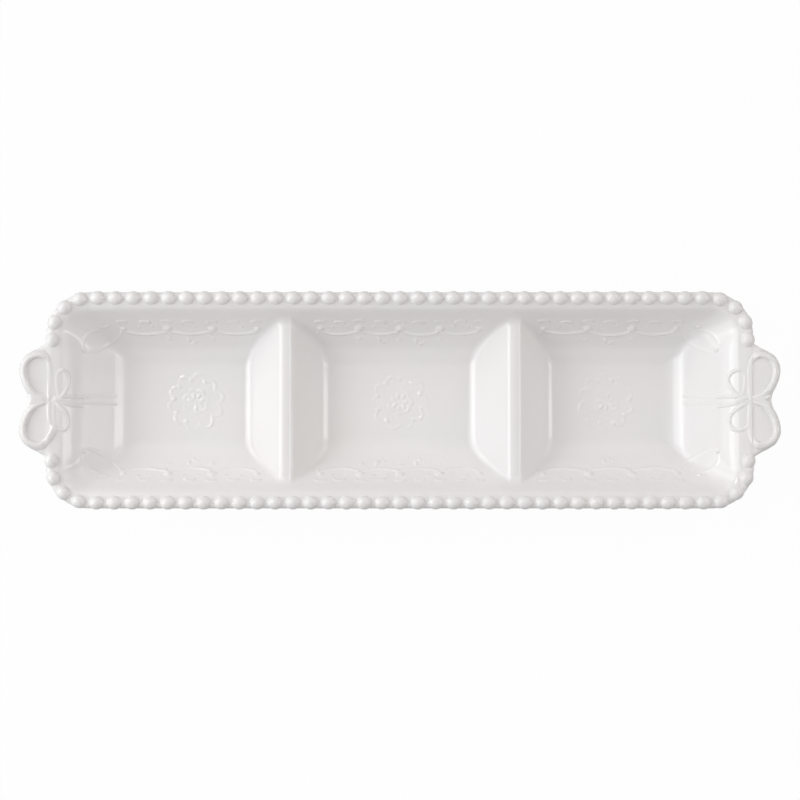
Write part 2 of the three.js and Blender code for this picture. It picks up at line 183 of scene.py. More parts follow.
glaze = makeGlaze()
bare = makeBare()
print("materials ready")


# meshes

meshLook = {"merge": 2e-6, "thin": 1e-6, "crease": 38}  # two lengths in metres and an angle in degrees


def addObject(name, data):
    thing = bpy.data.objects.new(name, data)
    scene.collection.objects.link(thing)
    return thing


def newMesh(name, points, faces):
    mesh = bpy.data.meshes.new(name)
    mesh.from_pydata((np.asarray(points, float) * mm).tolist(), [], faces.tolist())
    return mesh


def cleanMesh(mesh, merge):  # closes seams and poles and turns the faces outwards
    work = bmesh.new()
    work.from_mesh(mesh)
    bmesh.ops.remove_doubles(work, verts=work.verts, dist=merge)
    bmesh.ops.dissolve_degenerate(work, edges=work.edges, dist=meshLook["thin"])
    bmesh.ops.recalc_face_normals(work, faces=work.faces)
    work.to_mesh(mesh)
    work.free()


def evaluatedMesh(thing):  # plain mesh of an object with its modifiers applied
    depsgraph = bpy.context.evaluated_depsgraph_get()
    return bpy.data.meshes.new_from_object(thing.evaluated_get(depsgraph))


def finishPiece(name, mesh, material=glaze, slotName="white_glaze", crease=meshLook["crease"]):
    cleanMesh(mesh, meshLook["merge"])
    mesh.shade_smooth()
    mesh.set_sharp_from_angle(angle=math.radians(crease))
    mesh.materials.clear()
    mesh.materials.append(material)
    piece = addObject(name.replace(" ", "-"), mesh)
    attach(piece, "root")
    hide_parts(name.replace(" ", "_"))  # the solid of the same name


def addPiece(name, points, faces, **finish):
    finishPiece(name, newMesh(name, points, faces), **finish)


def cellCorners(grid):  # the four corner values of every cell
    return grid[:-1, :-1], grid[1:, :-1], grid[1:, 1:], grid[:-1, 1:]


def gridFaces(rows, cols, wrapRows=False, wrapCols=False):
    index = np.arange(rows * cols).reshape(rows, cols)
    if wrapRows:
        index = np.vstack([index, index[:1]])
    if wrapCols:
        index = np.hstack([index, index[:, :1]])
    return np.stack(cellCorners(index), -1)


def touchedCells(marked):  # cells with a marked corner
    a, b, c, d = cellCorners(marked)
    return a | b | c | d


def shell(top, under, keep):  # closed skin over the kept cells of a grid
    rows, cols = top.shape[:2]
    keep = keep.copy()
    while True:  # fill cells that would only touch at a corner
        a, b, c, d = cellCorners(keep)
        one, two = a & c & ~b & ~d, b & d & ~a & ~c
        if not (one.any() or two.any()):
            break
        keep[1:, :-1] |= one
        keep[:-1, :-1] |= two
    upper = gridFaces(rows, cols)[keep]
    total = rows * cols
    start = upper.reshape(-1)
    end = np.roll(upper, -1, axis=1).reshape(-1)
    free = ~np.isin(start * total + end, end * total + start)  # edges with one face only
    a, b = start[free], end[free]
    walls = np.stack([b, a, a + total, b + total], -1)
    faces = np.vstack([upper, upper[:, ::-1] + total, walls])
    points = np.vstack([top.reshape(-1, 3), under.reshape(-1, 3)])
    used, faces = np.unique(faces, return_inverse=True)
    return points[used], faces.reshape(-1, 4)


def smoothstep(low, high, value):
    t = np.clip((value - low) / (high - low), 0, 1)
    return t * t * (3 - 2 * t)


def blend(low, high, share):
    return low + (high - low) * share


def smoothMax(a, b, reach):
    h = np.clip(reach - np.abs(a - b), 0, None) / reach
    return np.maximum(a, b) + h * h * reach / 4


def smoothMin(a, b, reach):
    return -smoothMax(-a, -b, reach)


def stepsAcross(half, step):  # even steps from -half to half
    return np.arange(-half, half + slack, step)


def splineLoop(points, count, closed=True):  # smooth curve through given points
    points = np.asarray(points, float)
    size = len(points)
    spans = size if closed else size - 1
    t = np.arange(count) / count * spans if closed else np.linspace(0, spans, count)
    i = np.minimum(t.astype(int), spans - 1)
    f = (t - i)[:, None]
    around = [i + k for k in (-1, 0, 1, 2)]
    p0, p1, p2, p3 = [points[k % size if closed else np.clip(k, 0, size - 1)] for k in around]
    return 0.5 * (2 * p1 + (p2 - p0) * f + (2 * p0 - 5 * p1 + 4 * p2 - p3) * f ** 2
                  + (3 * p1 - p0 - 3 * p2 + p3) * f ** 3)


def evenly(path, count, closed=True):  # same curve with even steps
    loop = np.vstack([path, path[:1]]) if closed else path
    length = np.concatenate([[0], np.cumsum(np.linalg.norm(np.diff(loop, axis=0), axis=1))])
    marks = np.linspace(0, length[-1], count + 1)[:-1] if closed else np.linspace(0, length[-1], count)
    return np.stack([np.interp(marks, length, loop[:, k]) for k in range(loop.shape[1])], -1)


# relief: a stroke is a path with its half width and height

reliefLook = {"melt": 4, "sink": 0.5, "seat": 0.02, "least": 0.03, "tiny": 1e-9}


def reliefHeight(points, strokes):  # soft ridges along paths, melted together where they cross
    flat = points.reshape(-1, 3)
    total = np.zeros(len(flat))
    for path, width, height in strokes:
        width = np.broadcast_to(np.asarray(width, float), (len(path),))
        height = np.broadcast_to(np.asarray(height, float), (len(path),))
        reach = width.max()
        near = np.all((flat > path.min(0) - reach) & (flat < path.max(0) + reach), axis=1).nonzero()[0]
        best = np.zeros(len(near))
        for i in range(max(1, len(path) - 1)):
            j = min(i + 1, len(path) - 1)
            step = path[j] - path[i]
            length = max(step @ step, reliefLook["tiny"])  # a dot has no length
            t = np.clip((flat[near] - path[i]) @ step / length, 0, 1)
            away = np.linalg.norm(flat[near] - path[i] - t[:, None] * step, axis=1)
            across = away / blend(width[i], width[j], t)
            best = np.maximum(best, blend(height[i], height[j], t) * np.clip(1 - across ** 2, 0, None) ** 2)
        total[near] += best ** reliefLook["melt"]
    return (total ** (1 / reliefLook["melt"])).reshape(points.shape[:-1])


def reliefPiece(name, xs, ys, strokes):  # pressed clay relief on the inside of the dish
    place, normal = insideSurface(*np.meshgrid(xs, ys, indexing="ij"))
    placed = [(insideSurface(path[:, 0], path[:, 1])[0], wide, high) for path, wide, high in strokes]
    height = reliefHeight(place, placed)
    top = place + normal * (height - reliefLook["seat"])[..., None]
    under = place - normal * reliefLook["sink"]
    points, faces = shell(top, under, touchedCells(height > reliefLook["least"]))
    addPiece(name, points, faces)


def moveStrokes(strokes, stretch, shift):  # from a piece's own plan to the plan of the dish
    stretch, shift = np.array(stretch), np.array(shift)
    return [(np.asarray(path, float) * stretch + shift, wide, high) for path, wide, high in strokes]


def jitter(hand, size):  # small unevenness of handwork
    return float(hand.normal(0, size))


# plan of the dish at a distance out from the lip's edge

def planAt(out):
    radius = dish["lipRadius"] + (out if out > 0 else out * cornerTighten)
    halfY = dish["lipY"] + out
    return dish["lipX"] + out, halfY, min(radius, halfY)


# inside of the dish: the lip leans in and rolls over softly
# the long walls are hollowed, the end walls straight with a wide fillet
profileLook = {
    "rimTop": 38.2, "lipLean": 13.0, "longRoll": (4.2, 3.0), "leftRoll": (4.4, 5.0), "rightRoll": (5.6, 8.2),
    "longFoot": 28.0, "longCurve": 1.35, "endFoot": 34.7, "endFillet": 17.0, "endAngle": 49.6,
    "steepShare": 0.14, "steepTo": 9.0, "beyond": 1.0, "step": 0.05, "halvings": 34, "slopeStep": 0.05,
    "powerLow": 3.0, "powerHigh": 2.4, "powerFrom": 0.1, "powerTo": 0.6, "cornerFrom": 1.0, "cornerTo": 10.0,
}
profileQ = np.arange(-dish["lipWidth"] - profileLook["beyond"], dish["lipY"] + slack, profileLook["step"])
lipFall = math.tan(math.radians(profileLook["lipLean"]))


def sumAlong(slope):  # the fall that a slope adds up to
    return np.concatenate([[0], np.cumsum((slope[1:] + slope[:-1]) / 2 * profileLook["step"])])


def insideProfile(wall):  # heights over the distance in from the lip's edge
    look = profileLook
    q = profileQ
    rollOut, rollIn = look[f"{wall}Roll"]
    roll = smoothstep(-rollOut, rollIn, q)
    if wall == "long":
        fall = np.clip(1 - (np.clip(q, 0, None) / look["longFoot"]) ** look["longCurve"], 0, None)
    else:
        steepest = math.sin(math.radians(look["endAngle"]))
        lean = np.clip((look["endFoot"] - q) / look["endFillet"], 0, steepest)
        fall = lean / np.sqrt(1 - lean ** 2) * (1 + look["steepShare"] * smoothstep(look["steepTo"], 0, q))
    onLip = sumAlong((1 - roll) * lipFall)
    onWall = sumAlong(roll * fall)
    onLip -= np.interp(-dish["lipWidth"], q, onLip)
    return look["rimTop"] - onLip - onWall * (look["rimTop"] - onLip[-1] - dish["floorTop"]) / onWall[-1]


profileHeights = [insideProfile(wall) for wall in ("long", "left", "right")]


def insideHeight(q, longShare, right=False):
    onLong, onLeft, onRight = [np.interp(q, profileQ, heights) for heights in profileHeights]
    return onLong * longShare + np.where(right, onRight, onLeft) * (1 - longShare)


def insideDistance(x, y):  # distance in from the lip's edge, and how much a place belongs to a long wall
    low = np.full(np.shape(x), -dish["lipY"])
    high = np.full(np.shape(x), dish["lipWidth"])
    for _ in range(profileLook["halvings"]):
        out = (low + high) / 2
        halfY = dish["lipY"] + out
        radius = np.minimum(dish["lipRadius"] + np.where(out > 0, out, out * cornerTighten), halfY)
        overX = np.abs(x) - (dish["lipX"] + out - radius)
        overY = np.abs(y) - (halfY - radius)
        corner = np.hypot(np.maximum(overX, 0), np.maximum(overY, 0))
        beyond = corner + np.minimum(np.maximum(overX, overY), 0) - radius
        low = np.where(beyond > 0, out, low)
        high = np.where(beyond > 0, high, out)
    turn = np.arctan2(np.maximum(overY, 0), np.maximum(overX, 0))
    share = np.where(overX <= 0, 1.0, np.where(overY <= 0, 0.0, np.sin(turn)))
    share = np.where((overX <= 0) & (overY <= 0), (overY > overX) * 1.0, share)
    return -out, share


def insideLevel(x, y):  # height at a place in plan; below the lip the walls melt together in a round corner
    look = profileLook
    q, share = insideDistance(x, y)
    floor = dish["floorTop"]
    overLong = np.clip(insideHeight(dish["lipY"] - np.abs(y), 1.0) - floor, 0, None)
    overEnd = np.clip(insideHeight(dish["lipX"] - np.abs(x), 0.0, x > 0) - floor, 0, None)
    level = np.maximum(overLong, overEnd) / dish["depth"]
    high = smoothstep(look["powerFrom"], look["powerTo"], level)
    power = blend(look["powerLow"], look["powerHigh"], high)
    melted = floor + (overLong ** power + overEnd ** power) ** (1 / power)
    deep = smoothstep(look["cornerFrom"], look["cornerTo"], q)
    return insideHeight(q, share, x > 0) * (1 - deep) + melted * deep


def insideSurface(x, y):  # place and normal on the lip, walls or floor, for a place in plan
    x, y = np.asarray(x, float), np.asarray(y, float)
    small = profileLook["slopeStep"]
    z = insideLevel(x, y)
    slopeX = (insideLevel(x + small, y) - insideLevel(x - small, y)) / (2 * small)
    slopeY = (insideLevel(x, y + small) - insideLevel(x, y - small)) / (2 * small)
    normal = np.stack([-slopeX, -slopeY, np.ones_like(z)], -1)
    return np.stack([x, y, z], -1), normal / np.linalg.norm(normal, axis=-1, keepdims=True)


ringSteps = {"corner": 22, "long": 64, "short": 12}


def ringLoop(out, height):  # points round the plan, a quarter and the straight after it at a time
    halfX, halfY, radius = planAt(out)
    points = []
    for quarter in range(4):
        centreX = (halfX - radius) * (1 if quarter in (0, 3) else -1)
        centreY = (halfY - radius) * (1 if quarter < 2 else -1)
        turn = math.pi / 2 * (quarter + np.linspace(0, 1, ringSteps["corner"] + 1))
        level = np.full(len(turn), height)
        arc = np.stack([centreX + radius * np.cos(turn), centreY + radius * np.sin(turn), level], -1)
        alongX = quarter % 2 == 0
        ahead = np.array([-2 * centreX, 0, 0] if alongX else [0, -2 * centreY, 0])
        count = ringSteps["long" if alongX else "short"]
        points.append(np.vstack([arc, arc[-1] + ahead * np.linspace(0, 1, count + 1)[1:-1, None]]))
    return np.vstack(points)


def roundSection(corners, radii, steps):  # the inner corners of an open outline, rounded
    points = []
    for i, radius in enumerate(radii):
        before, corner, after = [np.array(corners[i + k], float) for k in range(3)]
        toBefore = (before - corner) / np.linalg.norm(before - corner)
        toAfter = (after - corner) / np.linalg.norm(after - corner)
        half = math.acos(float(np.clip(toBefore @ toAfter, -1, 1))) / 2
        middle = (toBefore + toAfter) / np.linalg.norm(toBefore + toAfter)
        centre = corner + middle * radius / math.sin(half)
        start = corner + toBefore * radius / math.tan(half) - centre
        turn = np.sign(toAfter[0] * toBefore[1] - toAfter[1] * toBefore[0]) * (math.pi - 2 * half)
        for step in range(steps + 1):
            c, s = math.cos(turn * step / steps), math.sin(turn * step / steps)
            points.append(centre + np.array([c * start[0] - s * start[1], s * start[0] + c * start[1]]))
    return points


def outerWall(z):  # how far out the outer face stands at a height
    return dish["wall"] * math.hypot(1, wallLean) - (dish["lipTop"] - z) * wallLean


bodyLook = {
    "rimOver": 0.4, "arcSteps": 12, "underSteps": 6, "merge": 1e-6,
    "insideRows": [(-6.4, -4.6, 3), (-4.4, 3, 34), (3.4, 19, 30), (19.4, 30, 40), (32, dish["lipY"], 6)],
    "slotTall": 20.0, "slotBevel": 0.9, "bevelSteps": 3, "bevelFrom": 65,
}


def bodyRows():  # rings from the middle of the underside out, over the rim and in to the floor
    look = bodyLook
    rimBottom = dish["lipTop"] - dish["rimThick"]
    rimOut = dish["lipWidth"] + look["rimOver"]
    rimTop = insideHeight(-rimOut, 1.0)
    corners = [
        (-dish["lipY"], dish["base"]),
        (outerWall(dish["base"]), dish["base"]),
        (outerWall(rimBottom), rimBottom),
        (rimOut, rimBottom),
        (rimOut, rimTop),
        (0, rimTop - rimOut * lipFall),
    ]
    radii = [dish[edge] for edge in ("baseEdge", "rimRoot", "rimLow", "rimEdge")]
    section = roundSection(corners, radii, look["arcSteps"])
    under = np.linspace(-dish["lipY"], section[0][0], look["underSteps"])[:-1]
    rows = [ringLoop(out, dish["base"]) for out in under] + [ringLoop(out, z) for out, z in section]
    for q in np.concatenate([np.linspace(*span) for span in look["insideRows"]]):
        row = ringLoop(-q, 0.0)
        row[:, 2] = insideLevel(row[:, 0], row[:, 1])
        rows.append(row)
    return rows


def addSlot(body, side):  # hole in the floor under a hollow divider
    work = bmesh.new()
    bmesh.ops.create_cube(work, size=1.0)
    for vert in work.verts:
        vert.co.x = (side * dish["dividerX"] + vert.co.x * 2 * dish["hollowX"]) * mm
        vert.co.y *= 2 * dish["hollowY"] * mm
        vert.co.z = (dish["base"] + vert.co.z * bodyLook["slotTall"]) * mm
    mesh = bpy.data.meshes.new("slot")
    work.to_mesh(mesh)
    work.free()
    cut = body.modifiers.new("slot", "BOOLEAN")
    cut.object = addObject("slot", mesh)
    cut.operation = "DIFFERENCE"
    cut.solver = "EXACT"
    return cut.object


def makeBody():
    look = bodyLook
    rows = bodyRows()
    faces = gridFaces(len(rows), len(rows[0]), wrapCols=True).reshape(-1, 4)
    mesh = newMesh("body", np.vstack(rows), faces)
    cleanMesh(mesh, look["merge"])
    body = addObject("body", mesh)
    cutters = [addSlot(body, side) for side in ends.values()]
    soften = body.modifiers.new("soften", "BEVEL")
    soften.width = look["slotBevel"] * mm
    soften.segments = look["bevelSteps"]
    soften.limit_method = "ANGLE"
    soften.angle_limit = math.radians(look["bevelFrom"])
    done = evaluatedMesh(body)
    for thing in [body] + cutters:
        bpy.data.objects.remove(thing)
    finishPiece("dish body", done)


makeBody()
print("body done")


footLook = {"inset": 4.0, "width": 5.0, "top": 2.6, "edge": 0.7, "arcSteps": 5}


def makeFoot():
    look = footLook
    outer = outerWall(dish["base"]) - look["inset"]
    inner = outer - look["width"]
    corners = [(outer, 0), (outer, look["top"]), (inner, look["top"]), (inner, 0)]
    wrapped = [corners[-1]] + corners + [corners[0]]
    section = roundSection(wrapped, [look["edge"]] * len(corners), look["arcSteps"])
    rows = [ringLoop(out, z) for out, z in section]
    faces = gridFaces(len(rows), len(rows[0]), wrapRows=True, wrapCols=True).reshape(-1, 4)
    addPiece("foot ring", np.vstack(rows), faces, material=bare, slotName="bare_stoneware")


makeFoot()
print("foot done")


dividerLook = {
    "lean": 0.35, "height": 20.6, "footHalf": 20.8, "crestRound": 0.6, "crown": 0.06, "crownHalf": 4.0,
    "crest": {"left": (-2.6, 3.25), "right": (-1.95, 3.85)},
    "pinchHigh": 0.31, "pinchHalf": 0.55, "pinchIn": 0.3,
    "floorMelt": 3.6, "wallMelt": 4.5, "wallMeltFrom": 24.0, "wallMeltTo": 38.0,
    "halfX": 25.0, "halfY": 46.0, "step": 0.55, "fine": 0.2, "fineHalf": 1.4,
    "hollowDeep": 0.5, "hollowLean": 0.74, "sink": 0.6, "least": 0.012, "seat": 0.006,
}


def makeDivider(end, side):
    look = dividerLook
    foot = look["footHalf"]
    crestLeft, crestRight = look["crest"][end]
    fine = stepsAcross(look["fineHalf"], look["fine"])
    creases = [mark + fine for mark in (-foot, crestLeft, crestRight, foot)]
    steps = np.concatenate([stepsAcross(look["halfX"], look["step"]), *creases])
    xs = np.unique(steps.round(3)) - look["lean"]
    x, y = np.meshgrid(xs, stepsAcross(look["halfY"], look["step"]), indexing="ij")
    basin = insideHeight(dish["lipY"] - np.abs(y), 1.0)
    across = x + look["lean"]  # the foot stands a little to the left of its hollow
    leftSlope = (foot + across) / (foot + crestLeft)
    rightSlope = (foot - across) / (foot - crestRight)
    slope = np.minimum(leftSlope, rightSlope) * look["height"]
    fromMiddle = np.clip(across - (crestLeft + crestRight) / 2, -look["crownHalf"], look["crownHalf"])
    crown = look["height"] - look["crown"] * fromMiddle ** 2
    roof = dish["floorTop"] + smoothMin(slope, crown, look["crestRound"])
    pinch = (across - crestRight + look["pinchIn"]) / look["pinchHalf"]
    roof = roof + look["pinchHigh"] * np.exp(-pinch ** 2)  # fine ridge, pinched by hand along one edge
    upWall = smoothstep(look["wallMeltFrom"], look["wallMeltTo"], np.abs(y))
    top = smoothMax(roof, basin, blend(look["floorMelt"], look["wallMelt"], upWall))
    fromEdge = np.minimum(dish["hollowX"] - np.abs(x), dish["hollowY"] - np.abs(y))
    hollow = dish["floorTop"] - look["hollowDeep"] + fromEdge / look["hollowLean"]
    low = np.maximum(basin - look["sink"], hollow)
    shift = side * dish["dividerX"]
    upper = np.stack([x + shift, y, top - look["seat"]], -1)
    lower = np.stack([x + shift, y, low], -1)
    points, faces = shell(upper, lower, touchedCells(top - basin > look["least"]))
    addPiece(f"{end} divider", points, faces)


for end, side in ends.items():
    makeDivider(end, side)
print("dividers done")


# beads: a string of them follows a path along the lip

beadLook = {
    "inset": 2.7, "rise": -1.25, "radius": 3.65, "neck": 0.3, "halfLong": 0.435, "sides": 24,
    "stepsPerBead": 20, "bowHalf": 25.5, "toBow": 1.5, "pitch": 9.33, "pathSteps": 24, "wobble": 0.012,
    "seed": 5, "crease": 60,
}


def beadPath(distance):  # from the middle of a long side, round the corner and on towards the bow
    halfX, halfY, radius = planAt(dish["lipWidth"] - beadLook["inset"])
    straight = halfX - radius
    along = np.abs(distance)
    turn = np.clip((along - straight) / radius, 0, math.pi / 2)
    past = np.clip(along - straight - radius * math.pi / 2, 0, None)
    x = np.minimum(along, straight) + radius * np.sin(turn)
    y = halfY - radius + radius * np.cos(turn) - past
    level = insideHeight(beadLook["inset"] - dish["lipWidth"], 1.0) + beadLook["rise"]
    return np.stack([np.where(distance < 0, -x, x), y, np.full_like(x, level)], -1)


def beadTree():
    tree = bpy.data.node_groups.new("bead string", "GeometryNodeTree")
    kinds = {"Path": "Geometry", "Beads": "Int", "Radius": "Float", "Neck": "Float", "Half Long": "Float",
             "Sides": "Int", "Steps": "Int", "Wobble": "Float", "Seed": "Int", "Glaze": "Material"}
    for name, kind in kinds.items():
        tree.interface.new_socket(name, in_out="INPUT", socket_type=f"NodeSocket{kind}")
    tree.interface.new_socket("Mesh", in_out="OUTPUT", socket_type="NodeSocketGeometry")
    link = Link(tree)
    group = link.node("NodeGroupInput", {}, {}).socket.node
    take = {socket.name: Link(tree, socket) for socket in group.outputs if socket.name}
    count = take["Beads"] * take["Steps"] + 1
    path = link.node("GeometryNodeResampleCurve", {"mode": "COUNT"}, {"Curve": take["Path"], "Count": count})
    factor = link.node("GeometryNodeSplineParameter", {}, {}, "Factor")
    along = factor * take["Beads"] * 0.99999  # stays below the count at the path's end
    which = link.node("ShaderNodeMath", {"operation": "FLOOR"}, {0: along})
    away = (along - which - 0.5) / take["Half Long"]
    swell = link.math("MAXIMUM", 1 - away * away, 0.0)
    neck = take["Neck"] * take["Neck"]
    width = (neck + (1 - neck) * swell) ** 0.5
    chance = link.node("FunctionNodeRandomValue", {"data_type": "FLOAT"},
                       {2: -1.0, 3: 1.0, "ID": which, "Seed": take["Seed"]}, 1)  # its float sockets
    width = width * take["Radius"] * (1 + chance * take["Wobble"] * swell)
    profile = link.node("GeometryNodeCurvePrimitiveCircle", {"mode": "RADIUS"},
                        {"Resolution": take["Sides"], "Radius": 1.0})
    solid = link.node("GeometryNodeCurveToMesh", {},
                      {"Curve": path, "Profile Curve": profile, "Scale": width, "Fill Caps": True})
    real = link.node("GeometryNodeRealizeInstances", {}, {0: solid})
    coated = link.node("GeometryNodeSetMaterial", {}, {"Geometry": real, "Material": take["Glaze"]})
    link.node("NodeGroupOutput", {}, {"Mesh": coated})
    return tree


def pathObject(path):
    curve = bpy.data.curves.new("path", "CURVE")
    curve.dimensions = "3D"
    curve.twist_mode = "Z_UP"
    spline = curve.splines.new("POLY")
    spline.points.add(len(path) - 1)
    spline.points.foreach_set("co", np.column_stack([path * mm, np.ones(len(path))]).ravel())
    return addObject("path", curve)


def makeBeadRun(name, path, count, seed, tree):
    look = beadLook
    string = pathObject(path)
    nodes = string.modifiers.new("beads", "NODES")
    nodes.node_group = tree
    inputs = {item.name: item.identifier for item in tree.interface.items_tree if item.in_out == "INPUT"}
    values = {"Beads": count, "Radius": look["radius"] * mm, "Neck": look["neck"],
              "Half Long": look["halfLong"], "Sides": look["sides"], "Steps": look["stepsPerBead"],
              "Wobble": look["wobble"], "Seed": seed, "Glaze": glaze}
    for key, value in values.items():
        nodes[inputs[key]] = value
    mesh = evaluatedMesh(string)
    bpy.data.objects.remove(string)
    finishPiece(name, mesh, crease=look["crease"])


def makeBeads():
    look = beadLook
    halfX, halfY, radius = planAt(dish["lipWidth"] - look["inset"])
    straight = halfX - radius
    toBow = straight + radius * math.pi / 2 + halfY - radius - look["bowHalf"] - look["toBow"]
    half = round(toBow / look["pitch"] - 0.5)  # whole beads between the middle one and the bow
    pitch = toBow / (half + 0.5)
    onSide = round(straight / pitch - 0.5)
    tree = beadTree()
    runs = [("beads", -onSide, onSide), ("left beads", -half, -onSide - 1),
            ("right beads", onSide + 1, half)]
    for row, (run, first, last) in enumerate(runs):
        for wall, flip in walls.items():
            count = last - first + 1
            marks = np.linspace(first - 0.5, last + 0.5, count * look["pathSteps"] + 1) * pitch
            path = beadPath(marks) * np.array([1, flip, 1])
            makeBeadRun(f"{wall} {run}", path, count, look["seed"] + row * 2 + (flip > 0), tree)


makeBeads()
print("beads done")


# swags of lace on the long walls: places are along the wall and in from the lip's edge

swagLook = {
    "middle": {"centre": 0.0, "count": 4, "width": 21.3},
    "end": {"centre": 112.0, "count": 3, "width": 23.9},
    "knotIn": 8.3, "knotHalf": 3.2, "knotHigh": 1.05, "knotEdge": 0.75,
    "knotTail": [(-0.9, 1.0), (-1.8, 2.2)], "tailHalf": 1.5, "tailHigh": 0.45,
    "dropIn": 5.2, "dropHalf": 2.1, "dropHigh": 0.32,
    "archIn": 4.6, "archLower": 0.3, "archHalf": 2.3, "knotArchHalf": 2.2, "archRise": 0.55,
    "archWide": 1.45, "archHigh": 0.42, "archPoints": 9,
    "cordIn": 0.3, "cordDrop": 2.5, "cordFull": 0.55, "cordHalf": 1.5, "cordHigh": 0.62, "cordThin": 0.75,
    "cordPoints": 25,
    "dotIn": 7.4, "dotOut": 3.8, "dotHalf": 1.5, "dotHigh": 0.3,
    "pendantIn": 14.6, "pendant": [([(-1.9, -0.8), (-1.5, 0.2)], 1.6, 0.5), ([(0.6, 1.2)], 1.6, 0.45),
                                   ([(2.4, 0.4)], 1.4, 0.38)],
    "past": 3.0, "from": 3.0, "to": 18.5, "step": 0.3, "stepIn": 0.19, "seed": 11,
}
swagJitter = {"knotAlong": 0.25, "knotIn": 0.2, "drop": 0.4, "arch": 0.15, "hang": 0.08, "cord": 0.2,
              "middle": 0.3, "dot": 0.2, "pendantAlong": 0.5, "pendantIn": 0.3}


def archStroke(x, q, half):
    look = swagLook
    t = np.linspace(0, math.pi, look["archPoints"])
    path = np.stack([x - half * np.cos(t), q + look["archRise"] - look["archRise"] * np.sin(t)], -1)
    return path, look["archWide"], look["archHigh"]


def knotStrokes(x, q, outermost, hand):
    look = swagLook
    edge = look["knotEdge"] if outermost else 1
    strokes = [([(x, q)], look["knotHalf"] * edge, look["knotHigh"] * edge)]
    strokes += moveStrokes([(look["knotTail"], look["tailHalf"], look["tailHigh"])], (1, 1), (x, q))
    if not outermost:
        drop = (x + jitter(hand, swagJitter["drop"]), q + look["dropIn"])
        strokes.append(([drop], look["dropHalf"], look["dropHigh"]))
    strokes.append(archStroke(x, look["archIn"] + jitter(hand, swagJitter["arch"]), look["knotArchHalf"]))
    return strokes


def cordStrokes(start, width, hand):  # one swag from knot to knot, with an arch and two dots
    look = swagLook
    t = np.linspace(0, 1, look["cordPoints"])
    hang = (4 * t * (1 - t)) ** look["cordFull"] * (1 + jitter(hand, swagJitter["hang"]) * (2 * t - 1))
    drop = look["cordDrop"] + jitter(hand, swagJitter["cord"])
    path = np.stack([start + width * t, look["knotIn"] + look["cordIn"] + drop * hang], -1)
    thick = blend(look["cordThin"], 1, np.sin(math.pi * t))
    strokes = [(path, look["cordHalf"], look["cordHigh"] * thick)]
    middle = start + width / 2 + jitter(hand, swagJitter["middle"])
    archIn = look["archIn"] + look["archLower"] + jitter(hand, swagJitter["arch"])
    strokes.append(archStroke(middle, archIn, look["archHalf"]))
    for out in (-1, 1):
        x = middle + out * look["dotOut"] + jitter(hand, swagJitter["dot"])
        q = look["dotIn"] + jitter(hand, swagJitter["dot"])
        strokes.append(([(x, q)], look["dotHalf"], look["dotHigh"]))
    return strokes


def swagStrokes(centre, count, width, hand):
    strokes = []
    left = centre - count * width / 2
    for k in range(count + 1):
        x = left + k * width + jitter(hand, swagJitter["knotAlong"])
        q = swagLook["knotIn"] + jitter(hand, swagJitter["knotIn"])
        strokes += knotStrokes(x, q, k in (0, count), hand)
    for k in range(count):
        strokes += cordStrokes(left + k * width, width, hand)
    for k in range(1, count - 1):
        x = left + (k + 0.5) * width + jitter(hand, swagJitter["pendantAlong"])
        q = swagLook["pendantIn"] + jitter(hand, swagJitter["pendantIn"])
        strokes += moveStrokes(swagLook["pendant"], (1, 1), (x, q))
    return strokes


def makeSwags():
    look = swagLook
    hand = np.random.default_rng(look["seed"])
    for wall, flip in walls.items():
        for well, side in (("left", -1), ("middle", 0), ("right", 1)):
            plan = look["end" if side else "middle"]
            centre = plan["centre"] * side
            half = plan["count"] * plan["width"] / 2 + look["past"]
            xs = np.arange(centre - half, centre + half, look["step"])
            ys = flip * (dish["lipY"] - np.arange(look["from"], look["to"], look["stepIn"]))
            strokes = swagStrokes(centre, plan["count"], plan["width"], hand)
            strokes = moveStrokes(strokes, (1, -flip), (0, flip * dish["lipY"]))
            reliefPiece(f"{well} {wall} swag", xs, ys, strokes)


makeSwags()
print("swags done")


# corner ribbons, placed in the right back corner and mirrored to the others

cornerLook = {
    "tail": [(148.8, 36.8), (152.6, 33.6), (156.8, 30.4), (161.2, 27.4), (164.6, 25.8), (167.0, 25.8)],
    "other": [(160.6, 37.8), (163.4, 36.8), (166.4, 34.6), (168.2, 31.4), (168.0, 27.6)],
    "half": 1.6, "high": 0.62, "points": 40, "taperAt": [0, 8, 30, 39], "taper": [0.7, 1.0, 0.9, 0.5],
    "bud": [(155.4, 40.2), (157.4, 39.2), (159.6, 39.6)], "budHalf": 1.0, "budHigh": 0.45, "budPoints": 12,
    "tip": (167.9, 26.9), "tipHalf": 1.8, "tipHigh": 0.95,
    "worn": {"left back": 0.5, "left front": 0.95, "right back": 0.25, "right front": 0.3},
    "spanX": (143.0, 172.0), "spanY": (22.0, 42.0), "step": 0.24,
}


def makeCornerRibbons():
    look = cornerLook
    taper = np.interp(np.arange(look["points"]), look["taperAt"], look["taper"])
    ribbons = [splineLoop(look[name], look["points"], False) for name in ("tail", "other")]
    bud = splineLoop(look["bud"], look["budPoints"], False)
    for end, flipX in ends.items():
        for wall, flipY in walls.items():
            high = look["high"] * look["worn"][f"{end} {wall}"] * taper
            strokes = [(ribbon, look["half"] * taper, high) for ribbon in ribbons]
            strokes.append((bud, look["budHalf"], look["budHigh"]))
            strokes.append(([look["tip"]], look["tipHalf"], look["tipHigh"]))
            xs = np.arange(*look["spanX"], look["step"]) * flipX
            ys = np.arange(*look["spanY"], look["step"]) * flipY
            reliefPiece(f"{end} {wall} corner ribbon", xs, ys, moveStrokes(strokes, (flipX, flipY), (0, 0)))


makeCornerRibbons()
print("corner ribbons done")


# medallions: a ring of lobes with dots between them, round a flower of scallops and petals

